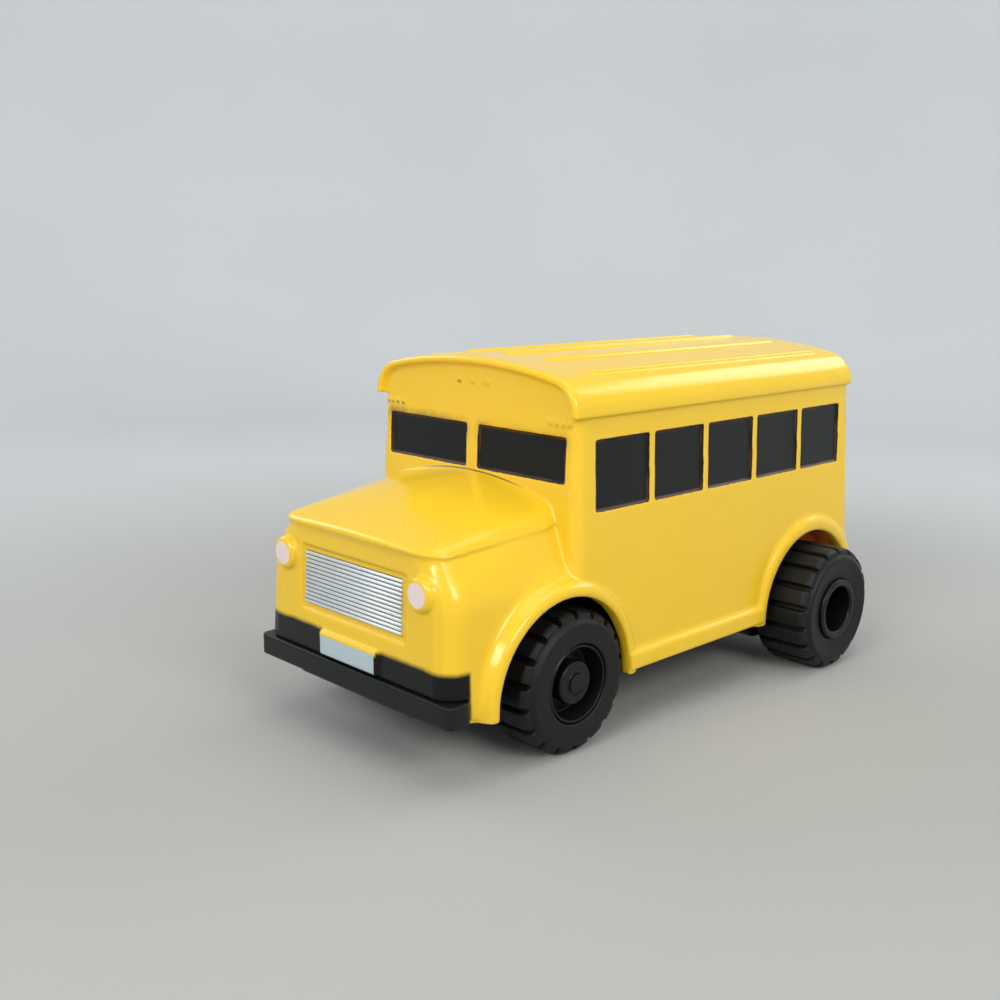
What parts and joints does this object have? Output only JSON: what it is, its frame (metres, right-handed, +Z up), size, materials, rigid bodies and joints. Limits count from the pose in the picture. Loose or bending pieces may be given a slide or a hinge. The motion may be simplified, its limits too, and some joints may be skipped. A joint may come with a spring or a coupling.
{
  "type": "line-following toy car",
  "caption": "Small toy school bus with a bonnet: hollow moulded body on a chassis tray with geared rear-wheel drives, button cells and a line sensor underneath.",
  "frame": {"origin": "on the floor under the middle of the bus's bounding box", "axes": "+X to the bus's own left, +Y to its rear (it drives towards -Y), +Z up"},
  "size_m": [0.0536, 0.0914, 0.0518],
  "materials": {
    "yellow_abs": "glossy injection-moulded ABS, slightly translucent",
    "black_abs": "satin injection-moulded black ABS",
    "tyre_rubber": "soft satin black rubber",
    "screw_steel": "zinc-plated steel",
    "cell_steel": "nickel-plated steel can",
    "contact_steel": "nickel-plated spring steel",
    "motor_steel": "drawn steel can",
    "pinion_brass": "machined brass",
    "white_plastic": "natural acetal",
    "green_board": "solder-masked glass epoxy",
    "black_epoxy": "moulded black epoxy",
    "clear_lens": "clear cast epoxy",
    "dark_lens": "dark cast epoxy"
  },
  "bodies": {
    "chassis": {"body_shell": "yellow_abs", "chassis_base": "black_abs", "chassis_screws": "screw_steel", "battery_door": "black_abs", "battery_door_screw": "screw_steel", "button_cells": "cell_steel", "battery_contact_plus": "contact_steel", "battery_contact_minus": "contact_steel", "circuit_board": "green_board", "control_chip": "black_epoxy", "board_screws": "screw_steel", "sensor_board": "green_board", "sensor_emitter": "clear_lens", "sensor_receiver": "dark_lens", "switch_body": "black_epoxy", "motor_clamp": "black_abs", "motor_clamp_screws": "screw_steel", "motor_can_left": "motor_steel", "motor_can_right": "motor_steel", "motor_end_cap_left": "white_plastic", "motor_end_cap_right": "white_plastic", "idler_pin_left": "contact_steel", "idler_pin_right": "contact_steel", "front_axle_pin_left": "black_abs", "front_axle_pin_right": "black_abs"},
    "power_switch": {"switch_knob": "white_plastic"},
    "rear_wheel_left": {"rear_tyre_left": "tyre_rubber", "rear_hub_left": "black_abs", "rear_shaft_left": "contact_steel", "wheel_gear_left": "white_plastic"},
    "idler_left": {"idler_gear_left": "white_plastic"},
    "motor_rotor_left": {"motor_shaft_left": "motor_steel", "motor_pinion_left": "pinion_brass"},
    "front_wheel_left": {"front_rim_left": "black_abs", "front_tyre_left": "tyre_rubber"},
    "rear_wheel_right": {"rear_tyre_right": "tyre_rubber", "rear_hub_right": "black_abs", "rear_shaft_right": "contact_steel", "wheel_gear_right": "white_plastic"},
    "idler_right": {"idler_gear_right": "white_plastic"},
    "motor_rotor_right": {"motor_shaft_right": "motor_steel", "motor_pinion_right": "pinion_brass"},
    "front_wheel_right": {"front_rim_right": "black_abs", "front_tyre_right": "tyre_rubber"}
  },
  "joints": [
    {"name": "power_switch_slide", "type": "slide", "parent": "chassis", "child": "power_switch", "axis": [1, 0, 0], "range_m": [0, 0.002]},
    {"name": "rear_wheel_spin_left", "type": "hinge", "parent": "chassis", "child": "rear_wheel_left", "pos_m": [0.0217, 0.03196, 0.0098], "axis": [1, 0, 0], "continuous": true},
    {"name": "idler_spin_left", "type": "hinge", "parent": "chassis", "child": "idler_left", "pos_m": [0.0133, 0.02596, 0.0098], "axis": [1, 0, 0], "continuous": true},
    {"name": "motor_spin_left", "type": "hinge", "parent": "chassis", "child": "motor_rotor_left", "pos_m": [0.0125, 0.01996, 0.0098], "axis": [1, 0, 0], "continuous": true},
    {"name": "front_wheel_spin_left", "type": "hinge", "parent": "chassis", "child": "front_wheel_left", "pos_m": [0.0171, -0.02374, 0.0098], "axis": [1, 0, 0], "continuous": true},
    {"name": "rear_wheel_spin_right", "type": "hinge", "parent": "chassis", "child": "rear_wheel_right", "pos_m": [-0.0217, 0.03196, 0.0098], "axis": [1, 0, 0], "continuous": true},
    {"name": "idler_spin_right", "type": "hinge", "parent": "chassis", "child": "idler_right", "pos_m": [-0.0133, 0.02596, 0.0098], "axis": [1, 0, 0], "continuous": true},
    {"name": "motor_spin_right", "type": "hinge", "parent": "chassis", "child": "motor_rotor_right", "pos_m": [-0.0125, 0.01996, 0.0098], "axis": [1, 0, 0], "continuous": true},
    {"name": "front_wheel_spin_right", "type": "hinge", "parent": "chassis", "child": "front_wheel_right", "pos_m": [-0.0171, -0.02374, 0.0098], "axis": [1, 0, 0], "continuous": true}
  ],
  "couplings": [
    {"joint": "idler_spin_left", "follows": "rear_wheel_spin_left", "ratio": -2},
    {"joint": "motor_spin_left", "follows": "rear_wheel_spin_left", "ratio": 4},
    {"joint": "idler_spin_right", "follows": "rear_wheel_spin_right", "ratio": -2},
    {"joint": "motor_spin_right", "follows": "rear_wheel_spin_right", "ratio": 4}
  ]
}
